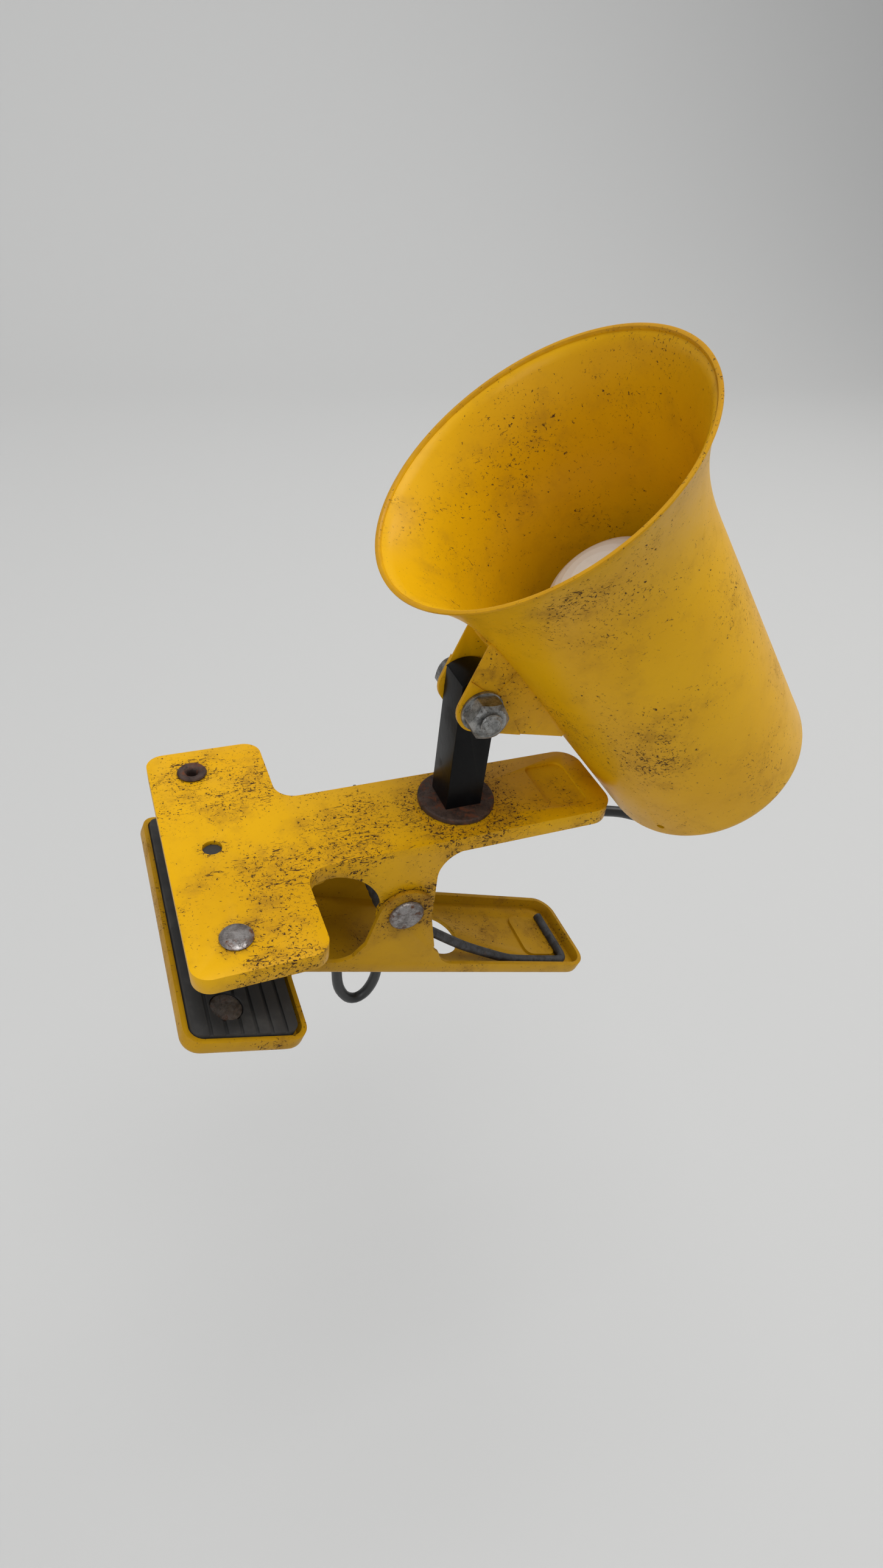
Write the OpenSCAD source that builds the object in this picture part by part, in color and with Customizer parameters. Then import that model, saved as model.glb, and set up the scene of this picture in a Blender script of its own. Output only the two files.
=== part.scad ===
// Clip-on spot lamp: a spring clamp with T-shaped jaws, a swivelling square post,
// and a trumpet-mouthed shade on a tilting bracket. Millimetres, +Z up.
// Origin: middle of the upper jaw pad's underside, on the table top that the clamp grips.
// +X runs along the stem towards the thumb handles.

/* [Clamp] */
// Length of each jaw's crossbar, across the clamp
jaw_w = 85; // [70:1:100]
// Width of the crossbar along the stem
bar_w = 33; // [28:1:38]
// Outside width of the upper stem and its cheeks
stem_w = 29.5; // [26:0.5:32]
// Sheet thickness of both jaws
sheet = 1.4; // [1:0.1:1.8]
// Depth of the folded edge, outside
fold_h = 5.2; // [4:0.1:7]
// Distance from the upper crossbar's middle to the handle's end
handle_x = 111.8; // [100:0.1:111.8]
// Length of the lower handle from the pivot
low_handle = 86; // [70:1:86]
// Angle of the lower jaw to the upper one, clamped on a board
jaw_angle = 21; // [15:1:25]

/* [Arm] */
// Side of the square post
post_w = 10.8; // [9:0.1:12]
// Height of the tilt bolt above the table top
bolt_z = 43.8; // [40:0.1:50]
// Diameter of the swivel washer
washer_d = 22.4; // [20:0.1:24]

/* [Head] */
// Outside diameter of the shade's tube
tube_d = 63.4; // [58:0.2:66]
// Outside diameter of the mouth
mouth_d = 84; // [76:1:90]
// Whole length of the shade
shade_l = 127; // [120:1:140]
// Lean of the shade's axis from upright, towards the jaws
lean = 39.8; // [35:0.1:45]
// Diameter of the reflector bulb
bulb_d = 39; // [39:1:39]

/* [Flex] */
// Diameter of the flex
flex_d = 4; // [3.5:0.1:4]

/* [Hidden] */
$fn = 64;
eps = 0.01;

YELLOW = "#dba81c";
STEEL = "#84807a";
RUST = "#3c241d";
BLACK = "#1b1b1c";
BRASS = "#b8923c";

pad_h = 4.8; // rubber pad, from the sheet down to the table
plate_z = pad_h + sheet; // top of the upper plate
fold_z = plate_z - fold_h; // lower edge of the upper folds
bar_x = bar_w / 2;
stem_y = stem_w / 2;
low_y = stem_y + 0.35 + sheet; // outside of the lower ears and stem
pivot = [46, 0, -18.5];
pivot_r = 3;
ear_r = 8.5;
low_v = -26.1; // bottom of the lower plate, measured from the pivot
post_x = 65.2;
stud_r = 4;
boss_h = 1;
washer_h = 2;
post_z0 = plate_z + boss_h + washer_h;
post_top = bolt_z + 8.7;
bolt_r = 3;
tube_r = tube_d / 2;
axis_x = tube_r + 12.4; // shade axis, from the tilt bolt
mouth_z = 42.8; // mouth plane, from the tilt bolt along the shade
rear_z = mouth_z - shade_l;
wall = 1.1;
ear_in = post_w / 2 + 0.5;
ear_t = 1.2;
relief_l = 22;

// ---------- shapes used more than once ----------

// Rectangle with round corners, by its low corner and its high corner
module round_rect(a, b, r) {
  translate([a[0] + r, a[1]]) square([b[0] - a[0] - 2 * r, b[1] - a[1]]);
  translate([a[0], a[1] + r]) square([b[0] - a[0], b[1] - a[1] - 2 * r]);
  for (x = [a[0] + r, b[0] - r], y = [a[1] + r, b[1] - r]) translate([x, y]) circle(r);
}

// T outline of a jaw, inset by d: crossbar across x = 0, stem of half width hw to x = end
module t_outline(hw, end, d = 0) {
  corner = 5 - d;
  fillet = 6 + d;
  round_rect([-bar_x + d, -jaw_w / 2 + d], [bar_x - d, jaw_w / 2 - d], corner);
  round_rect([0, -hw + d], [end - d, hw - d], 7 - d);
  for (s = [-1, 1]) scale([1, s]) difference() {
    translate([bar_x - d - eps, hw - d - eps]) square(fillet + eps);
    translate([bar_x - d + fillet, hw - d + fillet]) circle(fillet);
  }
}

// Pressed T plate: its face at z = 0, its folded edge below
module t_plate(hw, end) {
  difference() {
    translate([0, 0, -fold_h]) linear_extrude(fold_h) t_outline(hw, end);
    translate([0, 0, -fold_h - 1]) linear_extrude(fold_h + 1 - sheet) t_outline(hw, end, sheet);
  }
}

// A cylinder along Y through (x, z), from y0 to y1
module y_rod(x, z, r, y0, y1) translate([x, y0, z]) rotate([-90, 0, 0]) cylinder(r = r, h = y1 - y0);

// Move into the lower jaw's own frame: origin on the pivot, x along its handle
module lower_frame() translate(pivot) rotate([0, jaw_angle, 0]) children();

// Move into the head's frame: origin on the tilt bolt, z along the shade to its mouth
module head_frame() translate([post_x, 0, bolt_z]) rotate([0, -lean, 0]) children();

// Move onto the shade's axis, at a height above its rear face
module on_axis(h = 0) head_frame() translate([axis_x, 0, rear_z + h]) children();

function unit(v) = v / norm(v);
function tangent(p, i, closed) =
  let (n = len(p))
  closed ? unit(p[(i + 1) % n] - p[(i + n - 1) % n])
         : unit(p[min(i + 1, n - 1)] - p[max(i - 1, 0)]);
// One step of a frame that doesn't twist: the last side direction, made square to the new tangent
function carry(side, t) = unit(side - (side * t) * t);
function sides_along(p, closed, i = 0, side = undef) =
  i == len(p) ? [] :
  let (
    t = tangent(p, i, closed),
    seed = abs(t[1]) < 0.8 ? [0, 1, 0] : [1, 0, 0],
    s = carry(side == undef ? seed : side, t)
  ) concat([s], sides_along(p, closed, i + 1, s));
function ring(c, t, s, r, n) =
  let (u = cross(t, s)) [for (k = [0:n - 1]) c + r * (cos(360 * k / n) * s + sin(360 * k / n) * u)];

// Tube of radius r along the points p
module tube(p, r, n = 8, closed = false) {
  m = len(p);
  s = sides_along(p, closed);
  pts = [for (i = [0:m - 1]) each ring(p[i], tangent(p, i, closed), s[i], r, n)];
  last = closed ? m - 1 : m - 2;
  walls = [for (i = [0:last], k = [0:n - 1])
    let (a = i * n, b = ((i + 1) % m) * n, j = (k + 1) % n) [a + k, a + j, b + j, b + k]];
  ends = closed ? [] : [[for (k = [n - 1:-1:0]) k], [for (k = [0:n - 1]) (m - 1) * n + k]];
  polyhedron(points = pts, faces = concat(ends, walls), convexity = 6);
}

// Points on a smooth curve through the route p, steps to each span
function spline(p, steps) =
  let (m = len(p) - 1)
  concat(
    [for (i = [0:m - 1], k = [0:steps - 1])
      let (
        a = p[max(i - 1, 0)], b = p[i], c = p[i + 1], d = p[min(i + 2, m)], t = k / steps
      )
      0.5 * (2 * b + (c - a) * t + (2 * a - 5 * b + 4 * c - d) * t * t
        + (3 * b - a - 3 * c + d) * t * t * t)],
    [p[m]]);

// ---------- clamp, upper half ----------

// Cheek outline in x and z, with its round notches either side of the pivot
module cheek_outline() {
  notch_l = [21, -16.3];
  notch_r = [64.5, -7.8];
  translate([pivot[0], pivot[2]]) circle(ear_r - 0.1);
  difference() {
    translate([bar_x - 1, pivot[2]]) square([notch_r[0] - bar_x + 1, plate_z - pivot[2] - 1]);
    translate(notch_l) circle(17.8);
    translate(notch_r) circle(9.1);
    translate([notch_r[0] - 9.1, -40]) square([20, 40 + notch_r[1]]);
    translate([0, -40]) square([pivot[0] - ear_r + 0.1, 40 + notch_l[1]]);
  }
}

module thumb_recess(h) translate([98.5, 0, 0]) linear_extrude(h) round_rect([-6.5, -10], [6.5, 10], 3);

module upper_jaw() {
  color(YELLOW) difference() {
    union() {
      translate([0, 0, plate_z]) t_plate(stem_y, handle_x);
      for (y = [-stem_y, stem_y - sheet]) translate([0, y + sheet, 0]) rotate([90, 0, 0])
        linear_extrude(sheet) cheek_outline();
      translate([post_x, 0, plate_z - eps]) cylinder(d = washer_d + 2.2, h = boss_h + eps);
      translate([0, 0, plate_z - sheet - 0.9]) thumb_recess(1);
    }
    translate([post_x, 0, plate_z - sheet - eps]) cylinder(d = washer_d, h = boss_h);
    translate([0, 0, plate_z - 0.9]) thumb_recess(1);
    translate([post_x, 0, 0]) cylinder(r = stud_r + 0.08, h = 20);
    y_rod(pivot[0], pivot[2], pivot_r, -20, 20);
    translate([-4.5, 0, 0]) cylinder(r = 2.6, h = 20);
    for (y = [-32, 32]) translate([-4.5, y, 0]) cylinder(r = 2.5, h = 20);
  }
}

// Rubber strip that fills a crossbar, with the rivet holes sunk through it
module jaw_pad() {
  difference() {
    translate([0, 0, -pad_h]) linear_extrude(pad_h) round_rect(
      [-bar_x + sheet + 0.4, -jaw_w / 2 + sheet + 0.4], [bar_x - sheet - 1.6, jaw_w / 2 - sheet - 0.4], 3);
    for (y = [-32, 32]) translate([-4.5, y, -pad_h - 1]) {
      cylinder(r = 2.5, h = pad_h + 2);
      cylinder(r = 4.5, h = 2.4);
    }
    for (x = [-10:4:10]) translate([x - 0.5, -jaw_w, -pad_h - 1]) cube([1, 2 * jaw_w, 1.6]);
  }
}

module upper_pad() color(BLACK) translate([0, 0, pad_h]) jaw_pad();

// Hollow rivet, its rolled rim on the plate
module tubular_rivet() color(RUST) translate([-4.5, 32, 0]) difference() {
  union() {
    translate([0, 0, 1.2]) cylinder(r = 2.5, h = plate_z - 1.2);
    translate([0, 0, plate_z]) cylinder(r1 = 4.2, r2 = 3.6, h = 0.8);
    translate([0, 0, 1.2 - 0.6]) cylinder(r = 4.2, h = 0.8);
  }
  cylinder(r = 1.7, h = 20);
}

module solid_rivet() color(STEEL) translate([-4.5, -32, 0]) {
  translate([0, 0, 1.2]) cylinder(r = 2.5, h = plate_z - 1.2);
  translate([0, 0, plate_z]) cylinder(r1 = 4.3, r2 = 3.7, h = 0.7);
  translate([0, 0, 1.2 - 0.6]) cylinder(r = 4.2, h = 0.8);
}

module pivot_rivet() color(STEEL) {
  y_rod(pivot[0], pivot[2], pivot_r, -low_y - 1, low_y + 1);
  for (s = [-1, 1]) translate([pivot[0], s * (low_y + 0.1), pivot[2]]) rotate([-90 * s, 0, 0])
    cylinder(r1 = 5.3, r2 = 4.6, h = 1.5);
}

wire_r = 1.6;
coil_r = 5.9;
coil_pitch = 3.5;
// Coil turns about the pivot in x and z, from y0, starting and ending at the given angles
function coil_points(a0, a1, y0) =
  let (n = ceil(abs(a1 - a0) / 24))
  [for (i = [0:n]) let (a = a0 + (a1 - a0) * i / n)
    [coil_r * cos(a), y0 + coil_pitch * abs(a - a0) / 360, coil_r * sin(a)]];

// Upper part of the spring: its turns, and the leg that pushes up under the handle
module spring_coil() color("#2b2a29") translate(pivot) {
  leg_z = plate_z - sheet - wire_r - 0.1 - pivot[2];
  tube(concat(
    coil_points(-71, -270 - 360 * 5, -8.68),
    [[5, 10.9, 6.7], [10, 11, 9.6], [16, 11, 14.6], [21, 11, 18.9], [26, 11, 21.2], [32, 11, leg_z],
     [42, 11, leg_z], [52, 11, leg_z]]), wire_r);
}

// ---------- clamp, lower half ----------

// Ear of the lower jaw in its own x and z, origin on the pivot
module low_ear_outline() {
  wall_v = low_v + fold_h;
  circle(ear_r);
  difference() {
    polygon([[-ear_r, 0], [-7.4, -13.3], [-15.5, wall_v], [-15.5, low_v + 1], [27.5, low_v + 1],
             [27.5, wall_v], [17, -14.5], [ear_r, 0.6]]);
    translate([-15, wall_v + 7.6]) circle(7.6);
    translate([27.6, wall_v + 9]) circle(9);
  }
  polygon([[-ear_r, 0], [-7.4, -13.3], [-9.5, -18.5], [-9.5, low_v + 1], [14, low_v + 1], [16.4, -13],
           [ear_r, 0.6]]);
}

module lower_jaw() color(YELLOW) lower_frame() difference() {
  union() {
    translate([-pivot[0], 0, low_v]) mirror([0, 0, 1]) t_plate(low_y, pivot[0] + low_handle);
    for (y = [-low_y, low_y - sheet]) translate([0, y + sheet, 0]) rotate([90, 0, 0])
      linear_extrude(sheet) low_ear_outline();
    translate([71, 0, low_v + sheet - eps]) linear_extrude(1) round_rect([-6.5, -9], [6.5, 9], 3);
  }
  translate([71, 0, low_v - 1]) linear_extrude(1.9) round_rect([-5.5, -8], [5.5, 8], 2);
  y_rod(0, 0, pivot_r + 0.06, -20, 20);
  translate([29, 0, low_v - 1]) cylinder(r = 8.8, h = 4);
  for (y = [-32, 32]) translate([-pivot[0] - 4.5, y, low_v - 1]) cylinder(r = 2.5, h = 4);
}

module lower_pad() color(BLACK) lower_frame()
  translate([-pivot[0], 0, low_v + sheet]) mirror([0, 0, 1]) jaw_pad();

module lower_pad_rivets() color(STEEL) lower_frame()
  for (y = [-32, 32]) translate([-pivot[0] - 4.5, y, low_v]) {
    cylinder(r = 2.5, h = pad_h + sheet - 1.2);
    translate([0, 0, -0.7]) cylinder(r1 = 3.7, r2 = 4.3, h = 0.7);
    translate([0, 0, pad_h + sheet - 1.4]) cylinder(r = 4.2, h = 0.8);
  }

// Lower part of the spring: its first turn, and the leg hooked across the handle's end
module spring_leg() color("#2b2a29") lower_frame() {
  leg_v = low_v + sheet + wire_r + 0.1;
  tube(concat(
    [[78.6, 9, leg_v], [78.6, 0, leg_v], [78.6, -9.4, leg_v], [77.6, -11.6, leg_v],
     [75.4, -12.4, leg_v], [66, -12.4, leg_v], [56, -12, leg_v], [46, -11.8, -21.6],
     [32, -11.6, -17.6], [18, -11.6, -12.2], [8, -11.6, -8.2]],
    coil_points(-110, -400, -11.6)), wire_r);
}

// ---------- arm ----------

module swivel_washer() color(RUST) translate([post_x, 0, plate_z + boss_h]) difference() {
  cylinder(d = washer_d, h = washer_h);
  translate([0, 0, -1]) cylinder(r = stud_r, h = 9);
}

// Square post with its top rounded about the tilt bolt
module arm_post() color(BLACK) translate([post_x, 0, 0]) difference() {
  union() {
    translate([-post_w / 2, -post_w / 2, post_z0]) cube([post_w, post_w, bolt_z + 5 - post_z0]);
    intersection() {
      translate([-post_w / 2, -post_w / 2, bolt_z]) cube([post_w, post_w, post_top - bolt_z]);
      y_rod(0, bolt_z, post_top - bolt_z, -post_w, post_w);
    }
  }
  y_rod(0, bolt_z, bolt_r + 0.06, -20, 20);
  translate([0, 0, post_z0 - 1]) cylinder(r = stud_r, h = 17);
}

module swivel_stud() color(STEEL) translate([post_x, 0, -4.6]) cylinder(r = stud_r, h = post_z0 + 20.6);

module under_washer() color(STEEL) translate([post_x, 0, plate_z - sheet + boss_h - 2.1]) difference() {
  cylinder(r = 8, h = 1.1);
  translate([0, 0, -1]) cylinder(r = stud_r, h = 4);
}

// Split spring washer that keeps the swivel's friction even
module spring_washer() color(STEEL) translate([post_x, 0, plate_z - sheet - 3.1]) difference() {
  cylinder(r = 7.2, h = 2);
  translate([0, 0, -1]) cylinder(r = stud_r, h = 4);
  rotate([0, 0, 200]) translate([0, -0.6, -1]) cube([10, 1.2, 4]);
}

// Hexagon nut of width across flats af, its axis along Z
module hex(af, h) cylinder(d = af / cos(30), h = h, $fn = 6);

module swivel_nut() color(STEEL) translate([post_x, 0, plate_z - sheet - 9.2]) difference() {
  hex(13, 6.1);
  translate([0, 0, -1]) cylinder(r = stud_r, h = 9);
}

// ---------- head ----------

// Ear of the bracket: a round eye about the bolt, spreading to the shade
module ear_outline() hull() {
  circle(6.8, $fn = 32);
  translate([axis_x - tube_r - 0.4, -28]) square([1, 42.5]);
}

module head_bracket() color(YELLOW) head_frame() difference() {
  union() {
    for (y = [-ear_in - ear_t, ear_in]) translate([0, y + ear_t, 0]) rotate([90, 0, 0])
      linear_extrude(ear_t) ear_outline();
    intersection() {
      translate([axis_x, 0, -28]) cylinder(r = tube_r + ear_t, h = 42.5);
      translate([0, -ear_in - ear_t, -40]) cube([axis_x, 2 * (ear_in + ear_t), 80]);
    }
  }
  translate([axis_x, 0, rear_z]) shade_outside();
  y_rod(0, 0, bolt_r, -20, 20);
}

flare_l = 39; // length over which the tube opens into the mouth
function flare(t) = pow(t, 2.4); // how far it has opened, 0 to 1
rear_r = 5; // rounding of the closed end
steps = 16;
// Outline of the shade's outside, from the rear's middle to the mouth, inset by d
function outline(d) = concat(
  [[0, d]],
  [for (i = [0:6]) let (a = -90 + 15 * i)
    [tube_r - rear_r + (rear_r - d) * cos(a), rear_r + (rear_r - d) * sin(a)]],
  [for (i = [0:steps]) let (t = i / steps)
    [tube_r - d + (mouth_d / 2 - tube_r) * flare(t), shade_l - flare_l + flare_l * t]]);

module shade_outside() rotate_extrude($fn = 96) polygon(concat(outline(0), [[0, shade_l]]));

module shade() color(YELLOW) on_axis() difference() {
  shade_outside();
  rotate_extrude($fn = 96) polygon(concat(outline(wall), [[mouth_d / 2 - wall, shade_l + 1], [0, shade_l + 1]]));
  translate([0, 0, -1]) cylinder(r = 5, h = 5);
  translate([19.5, 0, -1]) cylinder(r = 5, h = 5);
  for (a = [216, -24, 96]) rotate([0, 0, a]) translate([0, 0, 8])
    rotate([0, 90, 0]) cylinder(r = 1.2, h = tube_r + 2);
}

// Bolt under the far ear, its end past the nut on the near side
module tilt_bolt() color(STEEL) head_frame() {
  out = ear_in + ear_t;
  y_rod(0, 0, bolt_r, -out - 7.4, out + 1.2);
  translate([0, out + 1.1, 0]) rotate([-90, 0, 0]) hex(10, 4);
}

module tilt_nut() color(STEEL) head_frame() difference() {
  translate([0, -ear_in - ear_t - 1.1, 0]) rotate([90, 0, 0]) hex(10, 5);
  y_rod(0, 0, bolt_r, -30, 30);
}

module tilt_washers() color(STEEL) head_frame() for (s = [-1, 1]) difference() {
  translate([0, s * (ear_in + ear_t), 0]) rotate([-90 * s, 0, 0]) cylinder(r = 5.9, h = 1.1);
  y_rod(0, 0, bolt_r, -30, 30);
}

module friction_washers() color("#4a2c1c") head_frame() for (s = [-1, 1]) difference() {
  translate([0, s * post_w / 2, 0]) rotate([-90 * s, 0, 0]) cylinder(r = 5.2, h = ear_in - post_w / 2);
  y_rod(0, 0, bolt_r, -30, 30);
}

// ---------- lampholder and bulb, on the shade's axis; heights are from the rear face ----------

holder_z = 4.6;
holder_l = 40;
shell_z = 21.3;
module holder_body() color("#2a1a14") on_axis() difference() {
  union() {
    translate([0, 0, holder_z]) cylinder(r = 8.5, h = 8);
    translate([0, 0, holder_z + 6]) cylinder(r1 = 10, r2 = 13.5, h = 5);
    translate([0, 0, holder_z + 11]) cylinder(r = 13.5, h = holder_l - 11);
    translate([0, 0, holder_z + 20]) cylinder(r = 14.3, h = 3);
  }
  translate([0, 0, shell_z]) cylinder(r = 8.2, h = holder_l);
  translate([0, 0, -1]) cylinder(r = 5, h = holder_z + 8);
  translate([0, 0, 9.6]) cylinder(r = 6.6, h = 5);
  for (s = [-1, 1]) translate([s * 4.5, 0, 13.6]) cylinder(r = 1.5, h = 12);
  for (s = [-1, 1]) translate([0, s * 5.2, 13.6]) cylinder(r = 1, h = 12);
}

module holder_shell() color(BRASS) on_axis(shell_z) difference() {
  cylinder(r = 8.2, h = 20);
  translate([0, 0, 0.5]) cylinder(r = 7.5, h = 20);
  translate([0, 0, -1]) cylinder(r = 6, h = 3);
}

module holder_contact() color(BRASS) on_axis(shell_z) {
  cylinder(r = 4.6, h = 0.5);
  translate([0, 0, 0.5]) cylinder(r1 = 2.6, r2 = 1.8, h = 1.2);
}

module holder_nipple() color(BRASS) on_axis(-5) difference() {
  cylinder(r = 5, h = 13);
  translate([0, 0, -1]) cylinder(r = 3.6, h = 20);
}

module nipple_nut() color(BRASS) on_axis() difference() {
  translate([0, 0, wall]) hex(15, 3.4);
  translate([0, 0, -1]) cylinder(r = 5, h = 9);
}

module terminal_screws() color(BRASS) on_axis() for (s = [-1, 1]) translate([s * 4.5, 0, 13.6])
  cylinder(r = 1.5, h = 7.6);

module lead_wires() on_axis() {
  color("#4c3a8a") tube([[2.2, 0, -4], [2.2, 0, 4], [2.2, 0, 8.2], [4.5, 0, 11.4], [4.5, 0, 13.5]], 1.1);
  color("#6b3f22") tube([[-2.2, 0, -4], [-2.2, 0, 4], [-2.2, 0, 8.2], [-4.5, 0, 11.4], [-4.5, 0, 13.5]], 1.1);
}

module switch_body() color(BLACK) on_axis() translate([19.5, 0, wall]) difference() {
  union() {
    cylinder(r = 6.6, h = 14);
    translate([0, 0, -wall - 3.4]) cylinder(r = 5, h = 5);
  }
  translate([0, 0, -8]) cylinder(r = 3.6, h = 16);
}

module switch_nut() color(STEEL) on_axis() translate([19.5, 0, -2.4]) difference() {
  cylinder(r = 6.6, h = 2.4);
  translate([0, 0, -1]) cylinder(r = 5, h = 5);
}

module switch_button() color(BLACK) on_axis() translate([19.5, 0, -7.5]) cylinder(r = 3.5, h = 12);

// Tapered sleeve on the nipple that keeps the flex from kinking
module strain_relief() color(BLACK) on_axis(-relief_l) difference() {
  union() {
    cylinder(r1 = 3, r2 = 5.4, h = relief_l - 6);
    translate([0, 0, relief_l - 6]) cylinder(r = 8, h = 6);
  }
  translate([0, 0, relief_l - 5]) cylinder(r = 5, h = 9);
  translate([0, 0, -1]) cylinder(r = flex_d / 2, h = relief_l);
}

bulb_z = shell_z + 1.7; // tip of the bulb's cap
cap_l = 22;
neck_r = 8;
dome_z = 55; // where the bulb is widest
bulb_l = 67;
// Reflector outline, from the neck to the widest place, then the dome
function bulb_outline(d) = concat(
  [for (i = [0:10]) let (t = i / 10)
    [neck_r - d + (bulb_d / 2 - neck_r) * sin(90 * t), cap_l + (dome_z - cap_l) * t + d * (1 - t)]],
  [for (i = [1:8]) let (a = 90 * i / 8)
    [(bulb_d / 2 - d) * cos(a), dome_z + (bulb_l - dome_z - d) * sin(a)]]);

module bulb_glass() color("#e6e4de") on_axis(bulb_z) difference() {
  rotate_extrude() polygon(concat([[0, cap_l]], bulb_outline(0)));
  rotate_extrude() polygon(concat([[0, cap_l + 1]], bulb_outline(1)));
}

module bulb_cap() color("#b9b6ae") on_axis(bulb_z) difference() {
  union() {
    translate([0, 0, 3]) cylinder(r = 6.9, h = cap_l - 6);
    translate([0, 0, cap_l - 3]) cylinder(r1 = 6.9, r2 = neck_r, h = 3);
  }
  translate([0, 0, 4]) cylinder(r = 5.9, h = cap_l);
  cylinder(r = 3.5, h = 8);
}

module bulb_tip() color(BLACK) on_axis(bulb_z) {
  cylinder(r = 2.4, h = 1);
  translate([0, 0, 1]) cylinder(r = 3.5, h = 3.6);
}

module bulb_stem() color("#d8d6d0") on_axis(bulb_z) {
  translate([0, 0, cap_l + 1]) cylinder(r1 = 4.6, r2 = 2, h = 12);
}

module bulb_filament() color("#cfcac0") on_axis(bulb_z + cap_l) tube([
  [-1.2, 0, 13], [-1.2, 0, 16], [-3.4, 0, 20], [-6, 0, 22], [-3, 2.4, 22.6], [3, 2.4, 22.6], [6, 0, 22],
  [3.4, 0, 20], [1.2, 0, 16], [1.2, 0, 13]], 0.35);

// ---------- flex, hank and plug ----------

exit_p = [post_x + axis_x * cos(lean) - (rear_z - relief_l) * sin(lean), 0,
          bolt_z + axis_x * sin(lean) + (rear_z - relief_l) * cos(lean)];
exit_dir = [sin(lean), 0, -cos(lean)];
// From the strain relief, round below the shade's rear, to behind the handle
head_route = [
  exit_p, exit_p + 5 * exit_dir, [172, 3, -24], [169, 7, -31], [162, 12, -34.5],
  [153, 16, -34.5], [143, 19, -32], [132, 21, -31], [120, 22, -31.6], [108, 22, -32]
];
// On behind the stem, then the loop that hangs below the lower jaw, to the hank
arm_route = [
  [107.6, 22, -32], [96, 22, -31.6], [84, 22, -29.5], [72, 22, -26], [62, 22, -20.5], [54, 22, -15.5],
  [47, 22, -13.5], [41, 22, -16.5], [38.5, 22, -24], [38, 22, -36], [38, 21.5, -54], [38, 21.5, -72],
  [38, 21.5, -88], [39, 21.5, -98], [42, 21.5, -105], [46, 21.5, -107.5], [50, 21.5, -105],
  [53, 21.5, -98], [54, 21.5, -88], [54, 21.5, -76], [55, 21.8, -66], [58, 23.2, -56], [61.6, 24.9, -47]
];
tail_route = [
  [65, 45.1, -68], [65, 45.1, -60], [64.4, 46.4, -53], [62, 49.6, -48.6], [59, 53.6, -48.8],
  [57, 56.7, -52], [56, 58, -57.5], [56, 58, -60]
];
tie_route = [
  [34, 12.2, -3.4], [45, 12, -3.4], [57, 12.2, -3.4], [60, 14.5, -3.8], [60.4, 20, -6.4],
  [59.6, 25, -12], [58.4, 25.2, -22], [57, 25.4, -31], [55.6, 28, -34.6], [53.5, 35, -35],
  [51.8, 42.2, -34.6], [50.8, 44.9, -30], [50, 45, -23.5], [49.4, 44.2, -20.4], [48.6, 41.4, -18.8],
  [46, 35, -15], [43, 29, -11], [37, 20, -6.4], [30.8, 17, -4], [30.4, 14.2, -3.4]
];

module flex_head() color(BLACK) tube(spline(head_route, 2), flex_d / 2);
module flex_arm() color(BLACK) tube(spline(arm_route, 2), flex_d / 2);
module flex_tail() color(BLACK) tube(spline(tail_route, 2), flex_d / 2);

hank_c = [53, 35, -58];
hank_run = 42; // straight part of each run
hank_in = 8;
hank_out = 16;
hank_t = 16;
module hank_outline(r) hull() for (s = [-1, 1]) translate([0, s * hank_run / 2]) circle(r, $fn = 32);
module flex_hank() color(BLACK) translate([hank_c[0], hank_c[1] + hank_t / 2, hank_c[2]]) rotate([90, 0, 0])
  linear_extrude(hank_t) difference() {
    hank_outline(hank_out);
    hank_outline(hank_in);
  }

module flex_tie() color("#26221f") tube(spline(concat(tie_route, [tie_route[0]]), 1), 0.8, 8);

plug_c = [56, 58];
plug_top = -74;
plug_l = 34;
module plug_relief() color(BLACK) translate([plug_c[0], plug_c[1], plug_top]) difference() {
  cylinder(r1 = 4.6, r2 = 2.9, h = 14);
  translate([0, 0, 13]) cylinder(r = flex_d / 2, h = 9);
}

module plug_body() color(BLACK) translate([plug_c[0], plug_c[1], plug_top - plug_l]) hull() {
  translate([-17.2, -6.5, 0]) cube([34.4, 13, 16]);
  translate([-9, -6, plug_l - 1]) cube([18, 12, 1]);
}

module plug_pins() color(BRASS) for (s = [-1, 1])
  translate([plug_c[0] + s * 9.3, plug_c[1], plug_top - plug_l - 19]) {
    cylinder(r = 2, h = 19);
  }

upper_jaw();
upper_pad();
tubular_rivet();
solid_rivet();
pivot_rivet();
spring_coil();
lower_jaw();
lower_pad();
lower_pad_rivets();
spring_leg();
swivel_washer();
arm_post();
swivel_stud();
under_washer();
spring_washer();
swivel_nut();
head_bracket();
shade();
tilt_bolt();
tilt_nut();
tilt_washers();
friction_washers();
holder_body();
holder_shell();
holder_contact();
holder_nipple();
nipple_nut();
terminal_screws();
lead_wires();
switch_body();
switch_nut();
switch_button();
strain_relief();
bulb_glass();
bulb_cap();
bulb_tip();
bulb_stem();
bulb_filament();
flex_head();
flex_arm();
flex_hank();
flex_tail();
flex_tie();
plug_relief();
plug_body();
plug_pins();
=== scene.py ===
import bpy
import bmesh
import math
from mathutils import Matrix, Vector


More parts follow.
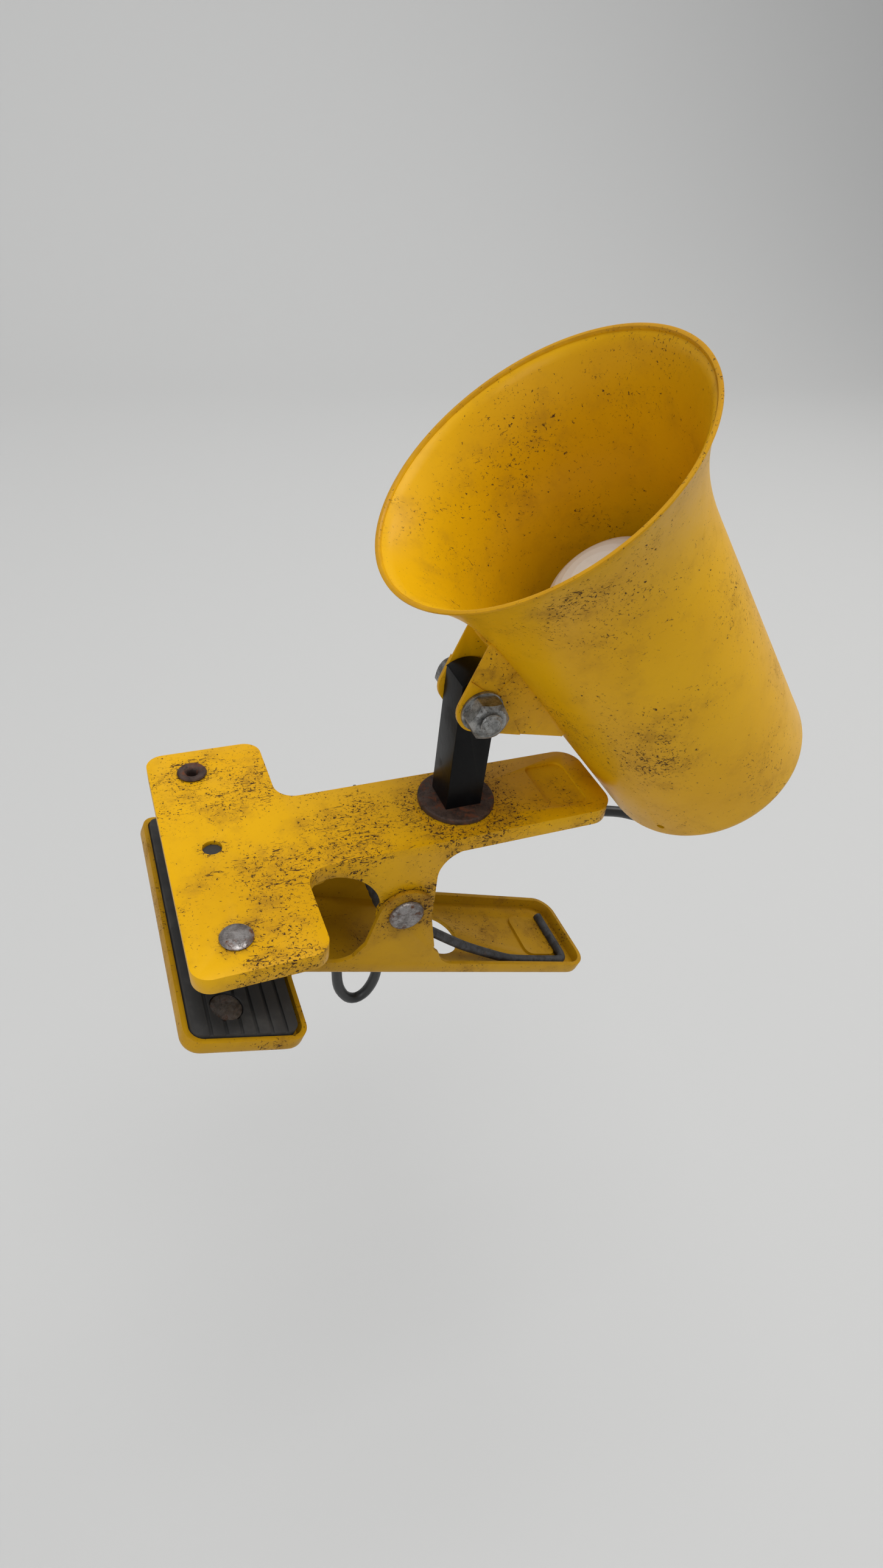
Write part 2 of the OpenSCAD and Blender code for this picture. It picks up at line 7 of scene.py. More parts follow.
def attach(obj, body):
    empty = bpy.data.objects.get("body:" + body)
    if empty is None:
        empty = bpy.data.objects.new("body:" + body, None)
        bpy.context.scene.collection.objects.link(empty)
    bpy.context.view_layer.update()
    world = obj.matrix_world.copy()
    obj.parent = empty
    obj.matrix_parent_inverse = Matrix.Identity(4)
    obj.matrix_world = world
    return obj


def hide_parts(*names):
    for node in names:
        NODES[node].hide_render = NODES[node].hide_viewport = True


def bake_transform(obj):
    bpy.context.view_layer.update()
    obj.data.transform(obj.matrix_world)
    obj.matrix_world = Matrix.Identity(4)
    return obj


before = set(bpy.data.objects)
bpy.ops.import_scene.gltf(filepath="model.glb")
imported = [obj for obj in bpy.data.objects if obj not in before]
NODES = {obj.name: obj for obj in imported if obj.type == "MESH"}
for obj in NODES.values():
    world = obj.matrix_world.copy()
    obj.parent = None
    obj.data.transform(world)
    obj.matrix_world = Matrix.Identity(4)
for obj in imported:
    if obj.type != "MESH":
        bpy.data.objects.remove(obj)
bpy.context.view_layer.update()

MM = 0.001

PIVOT = Vector((46, 0, -18.5)) * MM
JAW_ANGLE = math.radians(21)
POST_X = 65.2 * MM
BOLT_Z = 43.8 * MM
LEAN = math.radians(39.8)
AXIS_X = 44.1 * MM
REAR_Z = -84.2 * MM
# The head's own frame: origin on the tilt bolt, z along the shade to its mouth
HEAD = Matrix.Translation((POST_X, 0, BOLT_Z)) @ Matrix.Rotation(-LEAN, 4, "Y")
# The shade's own frame: origin on its rear face's middle
SHADE = HEAD @ Matrix.Translation((AXIS_X, 0, REAR_Z))
# The lower jaw's own frame: origin on the pivot, x along its handle
LOWER = Matrix.Translation(PIVOT) @ Matrix.Rotation(JAW_ANGLE, 4, "Y")


# ---------------------------------------------------------------- bench tools

def clear():
    for piece in bpy.context.selected_objects:
        piece.select_set(False)


def pick(*pieces):
    clear()
    for piece in pieces:
        piece.select_set(True)
    bpy.context.view_layer.objects.active = pieces[0]


def open_mesh(piece, mode="EDGE"):
    pick(piece)
    bpy.ops.object.mode_set(mode="EDIT")
    bpy.ops.mesh.select_mode(type=mode)
    bpy.ops.mesh.select_all(action="DESELECT")
    return bmesh.from_edit_mesh(piece.data)


def show(bm, piece):
    bm.select_flush_mode()
    bmesh.update_edit_mesh(piece.data)


def close_mesh():
    bpy.ops.object.mode_set(mode="OBJECT")


def edge_middle(edge):
    return (edge.verts[0].co + edge.verts[1].co) / 2


def settle(piece, place=None):
    """Put a finished piece's place into its mesh and leave its object at the origin."""
    pick(piece)
    bpy.context.view_layer.update()
    if place is not None:
        piece.matrix_world = place @ piece.matrix_world
    bpy.ops.object.transform_apply(location=True, rotation=True, scale=True)
    return piece


def finish_modifiers(piece):
    pick(piece)
    for modifier in list(piece.modifiers):
        bpy.ops.object.modifier_apply(modifier=modifier.name)


def smooth(piece, angle=32):
    pick(piece)
    bpy.ops.object.shade_smooth_by_angle(angle=math.radians(angle))


def round_edges(piece, width, segments=2, angle=35):
    rounding = piece.modifiers.new("rounding", "BEVEL")
    rounding.width = width
    rounding.segments = segments
    rounding.limit_method = "ANGLE"
    rounding.angle_limit = math.radians(angle)
    rounding.harden_normals = False
    finish_modifiers(piece)


def cut(piece, *tools):
    for tool in tools:
        saw = piece.modifiers.new("saw", "BOOLEAN")
        saw.operation = "DIFFERENCE"
        saw.solver = "EXACT"
        saw.object = tool
        finish_modifiers(piece)
        bpy.data.objects.remove(tool)


def rod(name, radius, depth, place, sides=48):
    """A round bar along its own z, its middle at the place's origin."""
    clear()
    bpy.ops.mesh.primitive_cylinder_add(vertices=sides, radius=radius, depth=depth, location=(0, 0, 0))
    piece = bpy.context.object
    piece.name = name
    return settle(piece, place)


def block(name, size, place):
    clear()
    bpy.ops.mesh.primitive_cube_add(size=1, location=(0, 0, 0))
    piece = bpy.context.object
    piece.name = name
    piece.scale = size
    return settle(piece, place)


def at(x, y, z):
    return Matrix.Translation((x * MM, y * MM, z * MM))


ALONG_Y = Matrix.Rotation(math.radians(-90), 4, "X")


def join(name, *pieces):
    pick(*pieces)
    if len(pieces) > 1:
        bpy.ops.object.join()
    piece = bpy.context.object
    piece.name = name
    return piece


def belongs(piece, body, slot, material, *nodes):
    """Hang a piece on its body, give it its finish, and let it stand for its solids."""
    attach(piece, body)
    if nodes:
        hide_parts(*nodes)
    piece.data.materials.clear()
    piece.data.materials.append(material)
    return piece


def pressing(node, name):
    """A clean copy of a solid, its flat faces whole, ready for its edges to be worked."""
    source = NODES[node]
    piece = bpy.data.objects.new(name, source.data.copy())
    bpy.context.scene.collection.objects.link(piece)
    piece.data.materials.clear()
    pick(piece)
    bpy.ops.object.mode_set(mode="EDIT")
    bpy.ops.mesh.select_mode(type="VERT")
    bpy.ops.mesh.select_all(action="SELECT")
    bpy.ops.mesh.remove_doubles(threshold=2e-6)
    bpy.ops.mesh.customdata_custom_splitnormals_clear()
    bpy.ops.mesh.select_all(action="SELECT")
    bpy.ops.mesh.dissolve_limited(angle_limit=math.radians(0.6))
    close_mesh()
    return piece


def lathe(name, profile, place, turns=128):
    """Spin an outline of (radius, height) points, in millimetres, about z."""
    clear()
    bpy.ops.mesh.primitive_circle_add(vertices=len(profile), radius=0.01, location=(0, 0, 0))
    piece = bpy.context.object
    piece.name = name
    bm = open_mesh(piece, "VERT")
    bm.verts.ensure_lookup_table()
    for vert, (r, z) in zip(bm.verts, profile):
        vert.co = (r * MM, 0, z * MM)
    bm.edges.ensure_lookup_table()
    ends = {0, len(profile) - 1}
    for edge in list(bm.edges):
        if {edge.verts[0].index, edge.verts[1].index} == ends:
            bm.edges.remove(edge)
    bmesh.update_edit_mesh(piece.data)
    bpy.ops.mesh.select_all(action="SELECT")
    bpy.ops.mesh.spin(steps=turns, angle=2 * math.pi, center=(0, 0, 0), axis=(0, 0, 1))
    bpy.ops.mesh.select_all(action="SELECT")
    bpy.ops.mesh.remove_doubles(threshold=4e-6)
    bpy.ops.mesh.select_all(action="SELECT")
    bpy.ops.mesh.normals_make_consistent(inside=False)
    close_mesh()
    return settle(piece, place)


def smooth_path(route, steps):
    """Points on a smooth curve through a route in millimetres, returned in metres."""
    out = []
    last = len(route) - 1
    for i in range(last):
        a, b = Vector(route[max(i - 1, 0)]), Vector(route[i])
        c, d = Vector(route[i + 1]), Vector(route[min(i + 2, last)])
        for k in range(steps):
            t = k / steps
            out.append(0.5 * (2 * b + (c - a) * t + (2 * a - 5 * b + 4 * c - d) * t * t
                              + (3 * b - a - 3 * c + d) * t * t * t) * MM)
    out.append(Vector(route[-1]) * MM)
    return out


def wire(name, points, radius, sides=12):
    """A round wire or flex swept along points in metres, as a mesh with capped ends."""
    line = bpy.data.curves.new(name, "CURVE")
    line.dimensions = "3D"
    line.bevel_depth = radius
    line.bevel_resolution = max(1, sides // 4 - 1)
    line.use_fill_caps = True
    line.twist_mode = "MINIMUM"
    strand = line.splines.new("POLY")
    strand.points.add(len(points) - 1)
    for point, place in zip(strand.points, points):
        point.co = (*place, 1)
    piece = bpy.data.objects.new(name, line)
    bpy.context.scene.collection.objects.link(piece)
    pick(piece)
    bpy.ops.object.convert(target="MESH")
    piece = bpy.context.object
    smooth(piece, 50)
    return piece


# ---------------------------------------------------------------- camera

EYE = (-0.02344, -0.16767, 0.16751)
FOCAL = 19.56103  # for a sensor 36 mm high


def set_camera():
    """A close, wide lens above and in front of the clamp's near end, leaning a little."""
    yaw, pitch, roll = math.radians(26.482), math.radians(39.279), math.radians(7.459)
    forward = Vector((math.sin(yaw) * math.cos(pitch), math.cos(yaw) * math.cos(pitch), -math.sin(pitch)))
    right = Vector((math.cos(yaw), -math.sin(yaw), 0))
    up = right.cross(forward)
    tilted_right = right * math.cos(roll) + up * math.sin(roll)
    tilted_up = -right * math.sin(roll) + up * math.cos(roll)
    lens = bpy.data.cameras.new("camera")
    lens.sensor_fit = "VERTICAL"
    lens.sensor_height = 36
    lens.lens = FOCAL
    lens.clip_start = 0.005
    camera = bpy.data.objects.new("camera", lens)
    bpy.context.scene.collection.objects.link(camera)
    turn = Matrix((tilted_right, tilted_up, -forward)).transposed().to_4x4()
    camera.matrix_world = Matrix.Translation(EYE) @ turn
    bpy.context.scene.camera = camera


set_camera()


# ---------------------------------------------------------------- finishes: shared effects

def new_group(name, inputs, outputs):
    group = bpy.data.node_groups.new(name, "ShaderNodeTree")
    for label, kind, value in inputs:
        socket = group.interface.new_socket(name=label, in_out="INPUT", socket_type=kind)
        if value is not None:
            socket.default_value = value
    for label, kind in outputs:
        group.interface.new_socket(name=label, in_out="OUTPUT", socket_type=kind)
    start = group.nodes.new("NodeGroupInput")
    end = group.nodes.new("NodeGroupOutput")
    return group, start, end


def add(tree, kind, links=(), **settings):
    """Place a node, set its properties and values, and wire its inputs."""
    node = tree.nodes.new(kind)
    for key, value in settings.items():
        if hasattr(node, key):
            setattr(node, key, value)
        else:
            node.inputs[key.replace("_", " ")].default_value = value
    for socket, source in links:
        if isinstance(source, (int, float, tuple)):
            node.inputs[socket].default_value = source
        else:
            tree.links.new(source, node.inputs[socket])
    return node


def ramp(tree, source, low, high):
    """Map low..high of a value to 0..1, clamped and eased."""
    node = add(tree, "ShaderNodeMapRange", [("Value", source), ("From Min", low), ("From Max", high)])
    node.interpolation_type = "SMOOTHSTEP"
    return node.outputs["Result"]


def sums(tree, kind, *values):
    """Fold values together with one math operation."""
    total = values[0]
    for value in values[1:]:
        total = add(tree, "ShaderNodeMath", [(0, total), (1, value)], operation=kind).outputs[0]
    return total


def stain(tree, under, over, mask):
    """Lay one colour over another where the mask is 1."""
    node = add(tree, "ShaderNodeMix", data_type="RGBA")
    for index, source in ((0, mask), (6, under), (7, over)):
        if isinstance(source, (int, float, tuple)):
            node.inputs[index].default_value = source
        else:
            tree.links.new(source, node.inputs[index])
    return node.outputs[2]


def noise(tree, place, scale, detail=4, rough=0.55, stretch=None, distort=0.0):
    where = place
    if stretch:
        where = add(tree, "ShaderNodeMapping", [("Vector", place)], Scale=stretch).outputs[0]
    node = add(tree, "ShaderNodeTexNoise", [("Vector", where)], Scale=scale, Detail=detail,
               Roughness=rough, Distortion=distort)
    return node.outputs["Fac"]


def make_specks():
    """Small dark chips and short scratches that gather in patches."""
    group, start, end = new_group("chips_and_scratches", [
        ("Place", "NodeSocketVector", None), ("Amount", "NodeSocketFloat", 0.5),
        ("Near", "NodeSocketFloat", 0.0)], [("Mask", "NodeSocketFloat"), ("Haze", "NodeSocketFloat")])
    place = start.outputs["Place"]
    patch = noise(group, place, 42, 3, 0.6)
    patch = sums(group, "ADD", sums(group, "MULTIPLY", ramp(group, patch, 0.34, 0.70), 0.55), 0.13,
                 sums(group, "MULTIPLY", start.outputs["Near"], 0.50))
    weight = sums(group, "MINIMUM", sums(group, "MULTIPLY", patch, start.outputs["Amount"]), 1.15)
    grit = noise(group, place, 1250, 4, 0.7, distort=0.6)
    lines = noise(group, place, 650, 4, 0.75, stretch=(0.4, 1.7, 0.9), distort=1.2)
    marks = sums(group, "MAXIMUM", grit, sums(group, "SUBTRACT", lines, 0.02))
    level = sums(group, "SUBTRACT", 0.685, sums(group, "MULTIPLY", weight, 0.115))
    mask = ramp(group, sums(group, "SUBTRACT", marks, level), 0.0, 0.035)
    haze = sums(group, "MULTIPLY", ramp(group, noise(group, place, 120, 5, 0.7), 0.45, 0.75), weight)
    group.links.new(mask, end.inputs["Mask"])
    group.links.new(haze, end.inputs["Haze"])
    return group


def make_near():
    """1 at a point and falling to 0 at a reach, roughened at its edge."""
    group, start, end = new_group("near_a_spot", [
        ("Place", "NodeSocketVector", None), ("Spot", "NodeSocketVector", None),
        ("Inner", "NodeSocketFloat", 0.004), ("Outer", "NodeSocketFloat", 0.008)],
        [("Mask", "NodeSocketFloat")])
    gap = add(group, "ShaderNodeVectorMath", [(0, start.outputs["Place"]), (1, start.outputs["Spot"])],
              operation="DISTANCE").outputs["Value"]
    ragged = sums(group, "MULTIPLY", sums(group, "SUBTRACT", noise(group, start.outputs["Place"], 260, 4),
                                          0.5),
                  0.007)
    gap = sums(group, "ADD", gap, ragged)
    fall = add(group, "ShaderNodeMapRange", [("Value", gap), ("From Min", start.outputs["Inner"]),
                                             ("From Max", start.outputs["Outer"])])
    fall.inputs["To Min"].default_value = 1
    fall.inputs["To Max"].default_value = 0
    group.links.new(fall.outputs["Result"], end.inputs["Mask"])
    return group


SPECKS = make_specks()
NEAR = make_near()


def use(tree, group, links, **values):
    node = tree.nodes.new("ShaderNodeGroup")
    node.node_tree = group
    for key, value in values.items():
        node.inputs[key].default_value = value
    for key, source in links.items():
        tree.links.new(source, node.inputs[key])
    return node


def start_material(name, metallic=0.0, roughness=0.5, **shader):
    material = bpy.data.materials.new(name)
    material.use_nodes = True
    tree = material.node_tree
    skin = tree.nodes["Principled BSDF"]
    skin.inputs["Metallic"].default_value = metallic
    skin.inputs["Roughness"].default_value = roughness
    for key, value in shader.items():
        skin.inputs[key.replace("_", " ")].default_value = value
    place = tree.nodes.new("ShaderNodeTexCoord").outputs["Object"]
    return material, tree, skin, place


def emboss(tree, skin, height, strength, distance=0.0002):
    """Raise or sink the surface's normals by a height."""
    bump = add(tree, "ShaderNodeBump", [("Height", height)], Strength=strength, Distance=distance)
    tree.links.new(bump.outputs["Normal"], skin.inputs["Normal"])


def enamel(name, main, shade_side, amount, spots=(), haze=0.5, rim=None):
    """Old semi-gloss yellow paint: soft colour drift, orange peel, chips and grime round the spots."""
    material, tree, skin, place = start_material(name, roughness=0.38, Coat_Weight=0.03, Coat_Roughness=0.2,
                                                 Specular_IOR_Level=0.13)
    drift = ramp(tree, noise(tree, place, 22, 3), 0.32, 0.7)
    colour = stain(tree, main, shade_side, sums(tree, "MULTIPLY", drift, 0.55))
    near = None
    for spot, inner, outer in spots:
        mask = use(tree, NEAR, {"Place": place}, Spot=spot, Inner=inner, Outer=outer).outputs["Mask"]
        near = mask if near is None else sums(tree, "MAXIMUM", near, mask)
    if near is None:
        near = sums(tree, "MULTIPLY", drift, 0.0)
    marks = use(tree, SPECKS, {"Place": place, "Near": near}, Amount=amount)
    grime = sums(tree, "MULTIPLY", sums(tree, "ADD", marks.outputs["Haze"],
                                        sums(tree, "MULTIPLY", near, 0.28)),
                 haze)
    colour = stain(tree, colour, (0.20, 0.090, 0.012, 1), grime)
    if rim:
        along = add(tree, "ShaderNodeVectorMath", [(0, place), (1, tuple(SHADE.col[2].xyz))],
                    operation="DOT_PRODUCT").outputs["Value"]
        ragged = sums(tree, "ADD", along, sums(tree, "MULTIPLY", noise(tree, place, 170, 5, 0.7), 0.0022))
        worn = sums(tree, "MULTIPLY", ramp(tree, ragged, rim + 0.0006, rim + 0.0019), 0.6)
        colour = stain(tree, colour, (0.40, 0.18, 0.010, 1), worn)
    colour = stain(tree, colour, (0.060, 0.028, 0.009, 1), marks.outputs["Mask"])
    tree.links.new(colour, skin.inputs["Base Color"])
    rough = sums(tree, "ADD", 0.30, sums(tree, "MULTIPLY", marks.outputs["Mask"], 0.4),
                 sums(tree, "MULTIPLY", grime, 0.35),
                 sums(tree, "MULTIPLY", noise(tree, place, 300, 3), 0.12))
    tree.links.new(rough, skin.inputs["Roughness"])
    peel = noise(tree, place, 700, 2, 0.5)
    height = sums(tree, "SUBTRACT", peel, sums(tree, "MULTIPLY", marks.outputs["Mask"], 1.6))
    emboss(tree, skin, height, 0.22, 0.00012)
    return material


def metal(name, light, dark, rust_amount, roughness=0.45, metallic=0.85, pit=0.5,
          rust=(0.10, 0.035, 0.012, 1)):
    """Bare or plated metal with pits, dull patches and rust."""
    material, tree, skin, place = start_material(name, metallic=metallic, roughness=roughness)
    patches = ramp(tree, noise(tree, place, 380, 5, 0.65), 0.35, 0.68)
    pits = ramp(tree, noise(tree, place, 1500, 4, 0.7), 0.52, 0.66)
    colour = stain(tree, light, dark, patches)
    colour = stain(tree, colour, (0.02, 0.014, 0.01, 1), sums(tree, "MULTIPLY", pits, pit))
    bloom = ramp(tree, noise(tree, place, 210, 6, 0.75, distort=0.6), 0.66 - 0.3 * rust_amount,
                 0.78 - 0.3 * rust_amount)
    colour = stain(tree, colour, rust, bloom)
    tree.links.new(colour, skin.inputs["Base Color"])
    rough = sums(tree, "ADD", roughness, sums(tree, "MULTIPLY", bloom, 0.4),
                 sums(tree, "MULTIPLY", pits, 0.2))
    tree.links.new(rough, skin.inputs["Roughness"])
    tree.links.new(sums(tree, "MULTIPLY", sums(tree, "SUBTRACT", 1.0, bloom), metallic),
                   skin.inputs["Metallic"])
    emboss(tree, skin, sums(tree, "SUBTRACT", patches, pits), 0.35, 0.00015)
    return material


def dull(name, colour, worn, roughness=0.6, speck=0.3, grain=600, metallic=0.0, **shader):
    """Rubber, plastic or dark paint with a fine grain, rubbed places and dust."""
    material, tree, skin, place = start_material(name, metallic=metallic, roughness=roughness, **shader)
    rubbed = ramp(tree, noise(tree, place, 95, 5, 0.65), 0.48, 0.75)
    tint = stain(tree, colour, worn, sums(tree, "MULTIPLY", rubbed, 0.6))
    dots = ramp(tree, noise(tree, place, 1300, 3, 0.8), 0.70, 0.76)
    tint = stain(tree, tint, tuple(min(1, c * 1.9 + 0.05) for c in worn[:3]) + (1,),
                 sums(tree, "MULTIPLY", dots, speck))
    tree.links.new(tint, skin.inputs["Base Color"])
    rough = sums(tree, "ADD", roughness - 0.08, sums(tree, "MULTIPLY", rubbed, 0.18))
    tree.links.new(rough, skin.inputs["Roughness"])
    emboss(tree, skin, noise(tree, place, grain, 3), 0.3, 0.00015)
    return material


YELLOW = (0.70, 0.375, 0.002, 1)
DEEP = (0.56, 0.275, 0.002, 1)
RIVETS = [((-0.0045, 0.032, 0.0066), 0.0035, 0.0075), ((-0.0045, -0.032, 0.0066), 0.0035, 0.0075),
          ((-0.0045, 0.0, 0.0064), 0.0020, 0.0050)]
PAINT_UPPER = enamel("enamel_upper", YELLOW, DEEP, 1.75, RIVETS + [
    ((POST_X, 0, 0.0070), 0.0105, 0.0205),
    ((0.046, -0.0148, -0.0185), 0.006, 0.012), ((0.010, -0.042, 0.001), 0.001, 0.009),
    ((0.110, -0.014, 0.001), 0.001, 0.008), ((-0.004, -0.043, 0.0006), 0.001, 0.008)])
# The lower jaw's yellow is a darker copy of the same enamel: painted shade for the jaw that lies under the
# upper plate.
PAINT_LOWER_SHADED = enamel("enamel_lower_painted_shade", (0.50, 0.265, 0.005, 1), (0.34, 0.165, 0.005, 1), 1.35, [
    (tuple(LOWER @ Vector((0, -0.0165, 0))), 0.006, 0.012),
    (tuple(LOWER @ Vector((0.078, 0, -0.0245))), 0.004, 0.014)], haze=0.8)
PAINT_SHADE = enamel("enamel_shade", YELLOW, DEEP, 1.15, [
    (tuple(SHADE @ Vector((-0.0317, -0.012, 0.060))), 0.004, 0.016),
    (tuple(SHADE @ Vector((-0.020, -0.025, 0.052))), 0.004, 0.022),
    (tuple(SHADE @ Vector((-0.016, -0.036, 0.118))), 0.003, 0.012)], haze=0.45,
    rim=(SHADE @ Vector((0, 0, 0.1262))).dot(SHADE.col[2].xyz))
PAINT_BRACKET = enamel("enamel_bracket", YELLOW, DEEP, 1.0, [
    (tuple(HEAD @ Vector((0.011, -0.0070, 0.003))), 0.004, 0.014),
    (tuple(HEAD @ Vector((0, 0, 0))), 0.006, 0.012)], haze=0.8)
NUT_STEEL = metal("dull_zinc", (0.36, 0.36, 0.35, 1), (0.13, 0.13, 0.125, 1), 0.12, 0.42)
RIVET_STEEL = metal("pitted_rivet", (0.34, 0.32, 0.31, 1), (0.14, 0.12, 0.11, 1), 0.48, 0.40)
RUSTY = metal("dark_rust", (0.075, 0.045, 0.034, 1), (0.03, 0.016, 0.012, 1), 0.55, 0.62, 0.35,
              rust=(0.12, 0.036, 0.014, 1))
SPRING_STEEL = metal("dark_spring_wire", (0.075, 0.075, 0.08, 1), (0.035, 0.033, 0.032, 1), 0.05, 0.5, 0.5,
                     0.3)
BRASS = metal("dull_brass", (0.62, 0.42, 0.14, 1), (0.30, 0.19, 0.06, 1), 0.02, 0.34, 0.95, 0.2,
              rust=(0.10, 0.06, 0.02, 1))
CAP_METAL = metal("rolled_cap", (0.66, 0.65, 0.63, 1), (0.42, 0.41, 0.39, 1), 0.02, 0.3, 0.95, 0.15)
POST_PAINT = dull("worn_black_steel", (0.003, 0.003, 0.0033, 1), (0.009, 0.009, 0.010, 1), 0.40, 0.5, 420,
                  Specular_IOR_Level=0.12)
RUBBER = dull("grey_rubber", (0.030, 0.029, 0.028, 1), (0.085, 0.080, 0.074, 1), 0.82, 0.3, 380)
FLEX_SKIN = dull("flex_sheath", (0.012, 0.013, 0.013, 1), (0.045, 0.045, 0.044, 1), 0.50, 0.2, 500)
BLACK_PLASTIC = dull("black_moulding", (0.012, 0.012, 0.013, 1), (0.040, 0.040, 0.040, 1), 0.36, 0.25, 520)
BAKELITE = dull("brown_moulding", (0.035, 0.016, 0.009, 1), (0.075, 0.040, 0.024, 1), 0.30, 0.2, 300)
TIE_SKIN = dull("tie_coating", (0.022, 0.020, 0.018, 1), (0.060, 0.055, 0.050, 1), 0.55, 0.2, 700)
WIRE_SKIN = dull("wire_sheath", (0.11, 0.045, 0.020, 1), (0.16, 0.085, 0.050, 1), 0.42, 0.1, 500)
GLASS = dull("frosted_dome", (0.60, 0.58, 0.55, 1), (0.42, 0.39, 0.36, 1), 0.42, 0.1, 900, Coat_Weight=0.4,
             Coat_Roughness=0.12)


# ---------------------------------------------------------------- flex, hank and plug

FLEX_R = 2.0 * MM
EXIT = Vector((167.14, 0, -9.55))
EXIT_WAY = Vector((math.sin(LEAN), 0, -math.cos(LEAN)))
HEAD_ROUTE = [
    tuple(EXIT), tuple(EXIT + 5 * EXIT_WAY), (172, 3, -24), (169, 7, -31), (162, 12, -34.5),
    (153, 16, -34.5), (143, 19, -32), (132, 21, -31), (120, 22, -31.6), (108, 22, -32)]
ARM_ROUTE = [
    (108, 22, -32), (96, 22, -31.6), (84, 22, -29.5), (72, 22, -26), (62, 22, -20.5), (54, 22, -15.5),
    (47, 22, -13.5), (41, 22, -16.5), (38.5, 22, -24), (38, 22, -36), (38, 21.5, -54), (38, 21.5, -72),
    (38, 21.5, -88), (39, 21.5, -98), (42, 21.5, -105), (46, 21.5, -107.5), (50, 21.5, -105),
    (53, 21.5, -98), (54, 21.5, -88), (54, 21.5, -76), (55, 21.8, -66), (58, 23.2, -56), (61.6, 24.9, -47)]
TAIL_ROUTE = [
    (66.7, 41.2, -76), (65.8, 43.4, -69), (65, 45.1, -61), (64.4, 46.4, -53), (62, 49.6, -48.6),
    (59, 53.6, -48.8), (57, 56.7, -52), (56, 58, -57.5), (56, 58, -61)]
HANK = Vector((53, 35, -58))


def hank_turns():
    """Four layers of two turns, wound as a flat loop with round ends."""
    out = []
    half = 21.0
    stations = [(29, 14), (29, 10), (33, 10), (33, 14), (37, 14), (37, 10), (41, 10), (41, 14)]
    for n, (y, r) in enumerate(stations):
        following = stations[min(n + 1, 7)]
        quarter = []
        for k in range(9):
            a = math.radians(22.5 * k)
            quarter.append((r * math.cos(a), half + r * math.sin(a), 0.0))
        for k in range(1, 4):
            quarter.append((-r, half - 2 * half * k / 4, 0.0))
        for k in range(9):
            a = math.radians(180 + 22.5 * k)
            quarter.append((r * math.cos(a), -half + r * math.sin(a), k / 8))
        if n < 7:
            for k in range(1, 4):
                quarter.append((r, -half + 2 * half * k / 4, 1.0))
        for x, z, ease in quarter:
            turn = ease * ease * (3 - 2 * ease)
            grow = (following[1] - r) * turn
            out.append((HANK.x + x + grow * (x / r), HANK.z + z, y + (following[0] - y) * turn))
    return [(x, y, z) for x, z, y in out]


def make_flex():
    lead_points = smooth_path(HEAD_ROUTE, 6)
    lead = wire("flex_lead", lead_points, FLEX_R)
    entry = [(65.6, 27.6, -41)]
    route = ARM_ROUTE + entry + hank_turns() + TAIL_ROUTE
    points = smooth_path(route, 3)
    main = wire("flex_main", points, FLEX_R, 12)
    return lead, lead_points, main, points


def make_tie():
    route = [
        (34, 12.2, -3.4), (45, 12, -3.4), (57, 12.2, -3.4), (60, 14.5, -3.8), (60.4, 20, -6.4),
        (59.6, 25, -12), (58.4, 25.2, -22), (57, 25.4, -31), (55.6, 28, -34.6), (53.5, 35, -35),
        (51.8, 42.2, -34.6), (50.8, 44.9, -30), (50, 45, -23.5), (49.4, 44.2, -20.4), (48.6, 41.4, -18.8),
        (46, 35, -15), (43, 29, -11), (37, 20, -6.4), (30.8, 17, -4), (30.4, 14.2, -3.4), (34, 12.2, -3.4)]
    return wire("flex_tie_wire", smooth_path(route, 5), 0.8 * MM, 8)


def make_plug():
    clear()
    bpy.ops.mesh.primitive_cube_add(size=1, location=(0, 0, 0))
    body = bpy.context.object
    body.scale = (34 * MM, 12.6 * MM, 15 * MM)
    settle(body, at(56, 58, -100.2))
    bm = open_mesh(body, "FACE")
    for face in bm.faces:
        face.select = face.normal.z > 0.9
    show(bm, body)
    middle = (0.056, 0.058, -0.0927)
    for rise, wide, deep in ((4.5, 0.93, 0.98), (6, 0.72, 0.94), (5.5, 0.62, 0.9), (2, 0.78, 0.86)):
        bpy.ops.mesh.extrude_region_move(TRANSFORM_OT_translate={"value": (0, 0, rise * MM)})
        bpy.ops.transform.resize(value=(wide, deep, 1), center_override=middle)
    close_mesh()
    round_edges(body, 1.5 * MM, 4, 20)
    boot = lathe("boot", [(0.001, -74.5), (4.6, -74.5), (4.6, -73.2), (3.9, -72.8), (3.9, -71.8),
                          (4.3, -71.4), (4.3, -70.2),
                          (3.6, -69.8), (3.6, -68.8), (4.0, -68.4), (4.0, -67.2), (3.3, -66.8), (3.3, -65.8),
                          (3.6, -65.4), (3.6, -64.2), (3.0, -63.8), (2.8, -60.3), (2.05, -60.0), (2.0, -62),
                          (0.001, -62)],
                 at(56, 58, 0), 32)
    plug = join("plug_moulding", body, boot)
    smooth(plug, 35)
    pins = []
    for side in (-9.3, 9.3):
        pins.append(lathe("pin", [(0.001, -108.1), (2.0, -108.1), (2.0, -125.6), (1.7, -126.5),
                                  (1.0, -127.0), (0.001, -127.0)],
                          at(56 + side, 58, 0), 32))
    prongs = join("plug_prongs", *pins)
    smooth(prongs, 35)
    return plug, prongs


LEAD, LEAD_POINTS, MAIN, MAIN_POINTS = make_flex()
TIE = make_tie()
PLUG, PRONGS = make_plug()
for piece, material in ((LEAD, FLEX_SKIN), (MAIN, FLEX_SKIN)):
    piece.data.materials.clear()
    piece.data.materials.append(material)
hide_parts("flex_head")
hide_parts("flex_arm", "flex_hank", "flex_tail")
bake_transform(LEAD)
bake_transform(MAIN)
belongs(TIE, "clamp", "tie_wire", TIE_SKIN, "flex_tie")
belongs(PLUG, "clamp", "black_plastic", BLACK_PLASTIC, "plug_body", "plug_relief")
belongs(PRONGS, "clamp", "brass", BRASS, "plug_pins")


